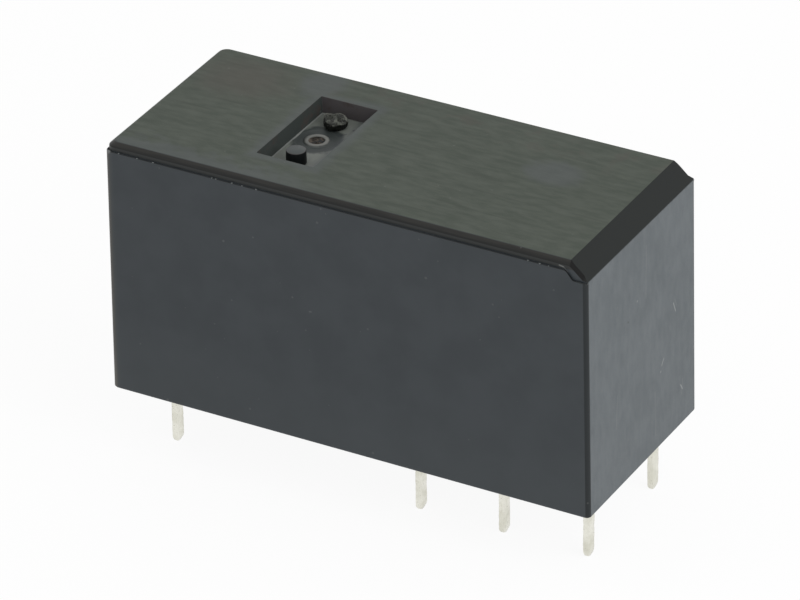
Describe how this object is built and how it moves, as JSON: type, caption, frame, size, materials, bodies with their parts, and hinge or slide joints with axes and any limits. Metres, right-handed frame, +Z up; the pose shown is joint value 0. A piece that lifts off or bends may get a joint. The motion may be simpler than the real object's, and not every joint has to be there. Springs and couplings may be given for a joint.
{
  "type": "pcb power relay",
  "caption": "Sealed low-profile relay for a circuit board: magnet, card and twin changeover contacts in a moulded case on solder pins.",
  "frame": {"origin": "centre of the flat face that seats on the circuit board", "axes": "+X along the case towards the contact end with the chamfered top edge, -Y towards the front panel, +Z up from the board; the pins point to -Z"},
  "size_m": [0.0288, 0.0124, 0.019],
  "materials": {
    "case_plastic": "fine satin moulded thermoplastic",
    "base_plastic": "moulded thermoplastic",
    "resin": "cast epoxy",
    "bobbin_nylon": "moulded nylon",
    "enamelled_wire": "enamelled copper wire",
    "soft_iron": "turned soft iron",
    "plated_steel": "nickel plated strip",
    "spring_steel": "rolled spring strip",
    "card_plastic": "moulded thermoplastic",
    "spring_bronze": "rolled bronze strip",
    "contact_silver": "polished silver alloy",
    "rivet_copper": "upset copper",
    "tinned_pins": "hot tinned copper alloy",
    "solder": "solder"
  },
  "bodies": {
    "housing": {"case": "case_plastic", "base": "base_plastic", "sealing_resin": "resin", "bobbin": "bobbin_nylon", "coil_winding": "enamelled_wire", "core": "soft_iron", "yoke": "plated_steel", "armature_spring": "spring_steel", "spring_rivet_front": "rivet_copper", "spring_rivet_rear": "rivet_copper", "common_terminal_front": "tinned_pins", "common_terminal_rear": "tinned_pins", "normally_closed_terminal_front": "tinned_pins", "normally_closed_terminal_rear": "tinned_pins", "normally_open_terminal_front": "tinned_pins", "normally_open_terminal_rear": "tinned_pins", "normally_closed_contact_front": "contact_silver", "normally_closed_contact_rear": "contact_silver", "normally_open_contact_front": "contact_silver", "normally_open_contact_rear": "contact_silver", "coil_terminal_front": "tinned_pins", "coil_terminal_rear": "tinned_pins", "coil_lead_front": "enamelled_wire", "coil_lead_rear": "enamelled_wire", "solder_front": "solder", "solder_rear": "solder"},
    "armature": {"armature": "plated_steel"},
    "card": {"card": "card_plastic"},
    "spring_front": {"contact_spring_front": "spring_bronze", "moving_contact_front": "contact_silver"},
    "spring_rear": {"contact_spring_rear": "spring_bronze", "moving_contact_rear": "contact_silver"}
  },
  "joints": [
    {"name": "armature_hinge", "type": "hinge", "parent": "housing", "child": "armature", "pos_m": [-0.01155, 0, 0.0025], "axis": [0, 1, 0], "range_deg": [0, 4.34], "stiffness_Nm_per_rad": 0.02, "springref_deg": -2.86, "deforming": ["armature_spring"]},
    {"name": "card_slide", "type": "slide", "parent": "housing", "child": "card", "axis": [1, 0, 0], "range_m": [0, 0.00079]},
    {"name": "spring_front_hinge", "type": "hinge", "parent": "housing", "child": "spring_front", "pos_m": [0.00845, -0.00295, 0.0042], "axis": [0, 1, 0], "range_deg": [0, 4.87]},
    {"name": "spring_rear_hinge", "type": "hinge", "parent": "housing", "child": "spring_rear", "pos_m": [0.00845, 0.00295, 0.0042], "axis": [0, 1, 0], "range_deg": [0, 4.87]}
  ],
  "couplings": [
    {"joint": "card_slide", "follows": "armature_hinge", "m_per_rad": 0.0104},
    {"joint": "spring_front_hinge", "follows": "armature_hinge", "ratio": 1.1196},
    {"joint": "spring_rear_hinge", "follows": "armature_hinge", "ratio": 1.1196}
  ]
}
